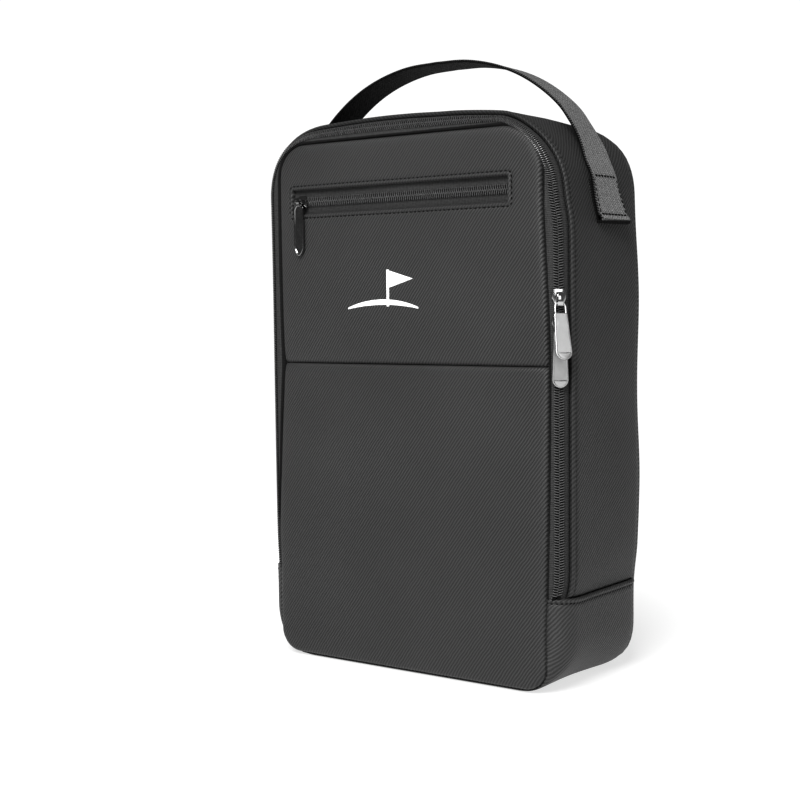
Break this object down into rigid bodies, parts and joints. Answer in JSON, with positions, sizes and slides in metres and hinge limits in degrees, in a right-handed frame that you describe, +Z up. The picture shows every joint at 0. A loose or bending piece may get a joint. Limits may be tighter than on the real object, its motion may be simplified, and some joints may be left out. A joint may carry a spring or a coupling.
{
  "type": "golf shoe bag",
  "caption": "Upright soft case for a pair of golf shoes, with a zipped front that folds down, a zipped front pocket and a webbing carry handle.",
  "frame": {"origin": "centre of the flat base, on the ground", "axes": "+Z up, +Y towards the back, +X to the right seen from the front"},
  "size_m": [0.2407, 0.1086, 0.39],
  "materials": {
    "twill": "charcoal-black polyester twill with a soft sheen",
    "foam": "grey laminated foam padding",
    "lining": "black woven polyester lining",
    "tape": "black woven zip tape",
    "teeth": "black nylon coil",
    "binding": "black ribbed binding tape",
    "webbing": "black herringbone webbing",
    "board": "off-white stiffening sheet",
    "print": "white rubberised print",
    "zip_metal": "satin gunmetal plating",
    "black_nickel": "glossy black nickel plating"
  },
  "bodies": {
    "shell": {"side_gusset": "twill", "side_foam": "foam", "body_lining": "lining", "back_panel": "twill", "back_foam": "foam", "base_boot": "twill", "base_board": "board", "base_pad": "foam", "front_foot_panel": "twill", "foot_foam": "foam", "zip_tape_rear": "tape", "zip_teeth_rear": "teeth", "mouth_binding": "binding", "back_binding": "binding", "handle_end_left": "webbing", "handle_end_right": "webbing"},
    "lid": {"front_upper_panel": "twill", "front_lower_panel": "twill", "lid_foam": "foam", "lid_lining": "lining", "lid_binding": "binding", "zip_tape_front": "tape", "zip_teeth_front": "teeth", "pocket_zip_tape": "tape", "pocket_zip_teeth": "teeth", "pocket_zip_stops": "zip_metal", "pocket_pouch": "lining", "front_emblem": "print"},
    "handle": {"handle_strap": "webbing", "handle_leg_left": "webbing", "handle_leg_right": "webbing"},
    "upper_slider": {"upper_slider": "zip_metal"},
    "upper_pull": {"upper_pull": "zip_metal"},
    "lower_slider": {"lower_slider": "zip_metal"},
    "lower_pull": {"lower_pull": "zip_metal"},
    "pocket_slider": {"pocket_slider": "black_nickel"},
    "pocket_pull": {"pocket_pull": "black_nickel"}
  },
  "joints": [
    {"name": "lid_fold", "type": "hinge", "parent": "shell", "child": "lid", "pos_m": [0, -0.0494, 0.058], "axis": [1, 0, 0], "range_deg": [0, 100], "deforming": ["zip_tape_front", "zip_teeth_front"]},
    {"name": "handle_rock", "type": "hinge", "parent": "shell", "child": "handle", "pos_m": [0, 0, 0.32], "axis": [1, 0, 0], "range_deg": [-20, 20], "stiffness_Nm_per_rad": 0.06, "deforming": ["handle_leg_left", "handle_leg_right"]},
    {"name": "upper_slide", "type": "slide", "parent": "shell", "child": "upper_slider", "axis": [0, 0, 1], "range_m": [0, 0.04]},
    {"name": "upper_pull_swing", "type": "hinge", "parent": "upper_slider", "child": "upper_pull", "pos_m": [0.11225, -0.04865, 0.2342], "axis": [-0.7071, -0.7071, 0], "range_deg": [0, 118]},
    {"name": "lower_slide", "type": "slide", "parent": "shell", "child": "lower_slider", "axis": [0, 0, 1], "range_m": [-0.15, 0]},
    {"name": "lower_pull_swing", "type": "hinge", "parent": "lower_slider", "child": "lower_pull", "pos_m": [0.11225, -0.04865, 0.2192], "axis": [-0.7071, -0.7071, 0], "range_deg": [0, 14]},
    {"name": "pocket_slide", "type": "slide", "parent": "lid", "child": "pocket_slider", "axis": [1, 0, 0], "range_m": [0, 0.15]},
    {"name": "pocket_pull_swing", "type": "hinge", "parent": "pocket_slider", "child": "pocket_pull", "pos_m": [-0.08, -0.0531, 0.302], "axis": [-1, 0, 0], "range_deg": [0, 160]}
  ]
}
